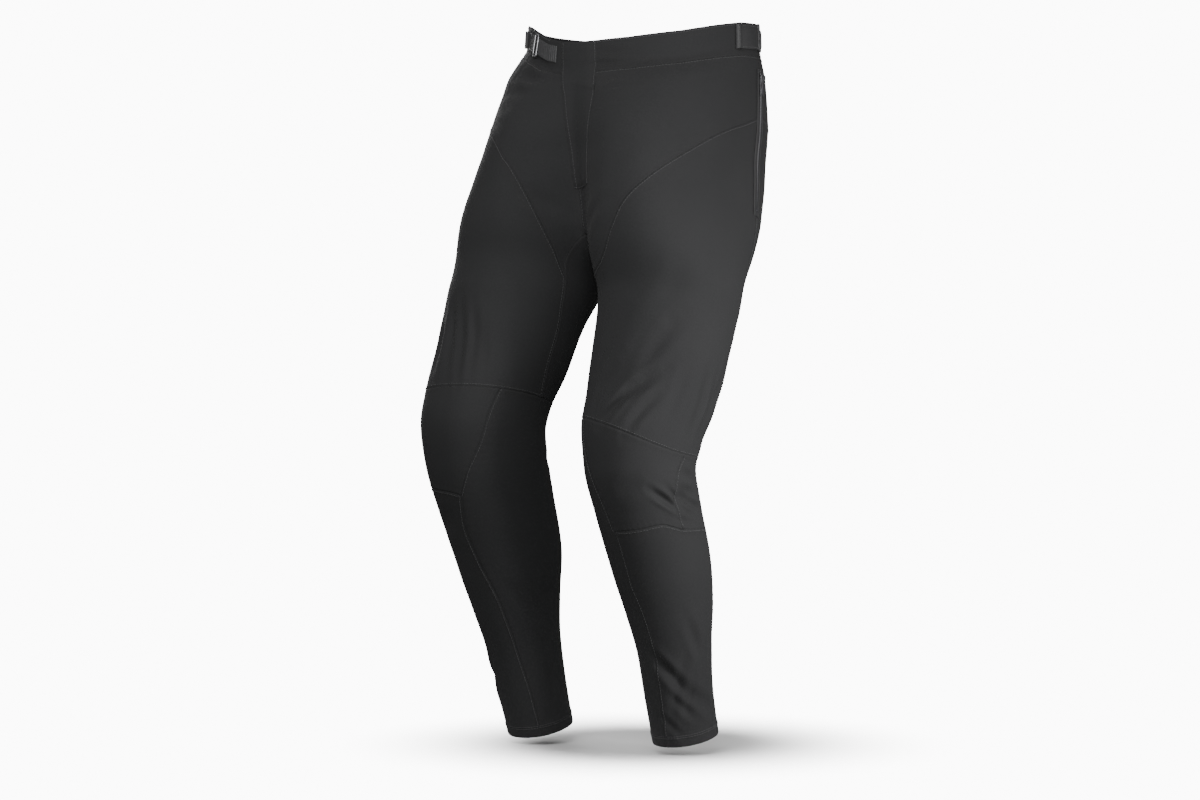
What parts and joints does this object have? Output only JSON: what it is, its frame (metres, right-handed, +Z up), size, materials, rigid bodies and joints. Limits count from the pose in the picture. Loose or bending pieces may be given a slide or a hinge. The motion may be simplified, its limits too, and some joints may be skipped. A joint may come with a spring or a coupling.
{
  "type": "mountain bike trousers",
  "caption": "Slim black mountain bike trousers, hollow as worn, with curved knees, front fly, side pocket zips and waist adjusters.",
  "frame": {"origin": "middle of the waist, halfway up the waistband at centre front, where the wearer's waist holds the trousers", "axes": "+Z up along the standing wearer, -Y towards the wearer's front, +X towards the wearer's left"},
  "size_m": [0.4334, 0.4123, 0.9833],
  "materials": {
    "cloth": "matt stretch woven",
    "zip_tape": "coated zip tape",
    "webbing": "ribbed webbing",
    "metal": "dark satin"
  },
  "bodies": {
    "garment": {"waistband_front_left": "cloth", "waistband_front_right": "cloth", "waistband_back": "cloth", "fly_placket": "cloth", "hip_front_left": "cloth", "hip_front_right": "cloth", "thigh_front_left": "cloth", "thigh_front_right": "cloth", "inner_thigh_left": "cloth", "inner_thigh_right": "cloth", "back_yoke_left": "cloth", "back_yoke_right": "cloth", "seat_back_left": "cloth", "seat_back_right": "cloth", "knee_front_left": "cloth", "knee_front_right": "cloth", "knee_side_left": "cloth", "knee_side_right": "cloth", "inner_calf_left": "cloth", "inner_calf_right": "cloth", "shin_front_left": "cloth", "shin_front_right": "cloth", "calf_back_left": "cloth", "calf_back_right": "cloth", "zip_tape_left": "zip_tape", "zip_tape_right": "zip_tape", "zip_slider_left": "metal", "zip_slider_right": "metal", "adjuster_ladder_left": "webbing", "adjuster_ladder_right": "webbing", "adjuster_ring_left": "metal", "adjuster_ring_right": "metal", "adjuster_tab_left": "webbing", "adjuster_tab_right": "webbing"},
    "pull_left": {"zip_pull_left": "metal"},
    "pull_right": {"zip_pull_right": "metal"}
  },
  "joints": [
    {"name": "pull_hinge_left", "type": "hinge", "parent": "garment", "child": "pull_left", "pos_m": [0.18622, 0.02811, -0.02952], "axis": [0.2569, -0.9457, 0.1991], "range_deg": [0, 150]},
    {"name": "pull_hinge_right", "type": "hinge", "parent": "garment", "child": "pull_right", "pos_m": [-0.18622, 0.02813, -0.02518], "axis": [0.2637, 0.9456, -0.1904], "range_deg": [0, 150]}
  ]
}
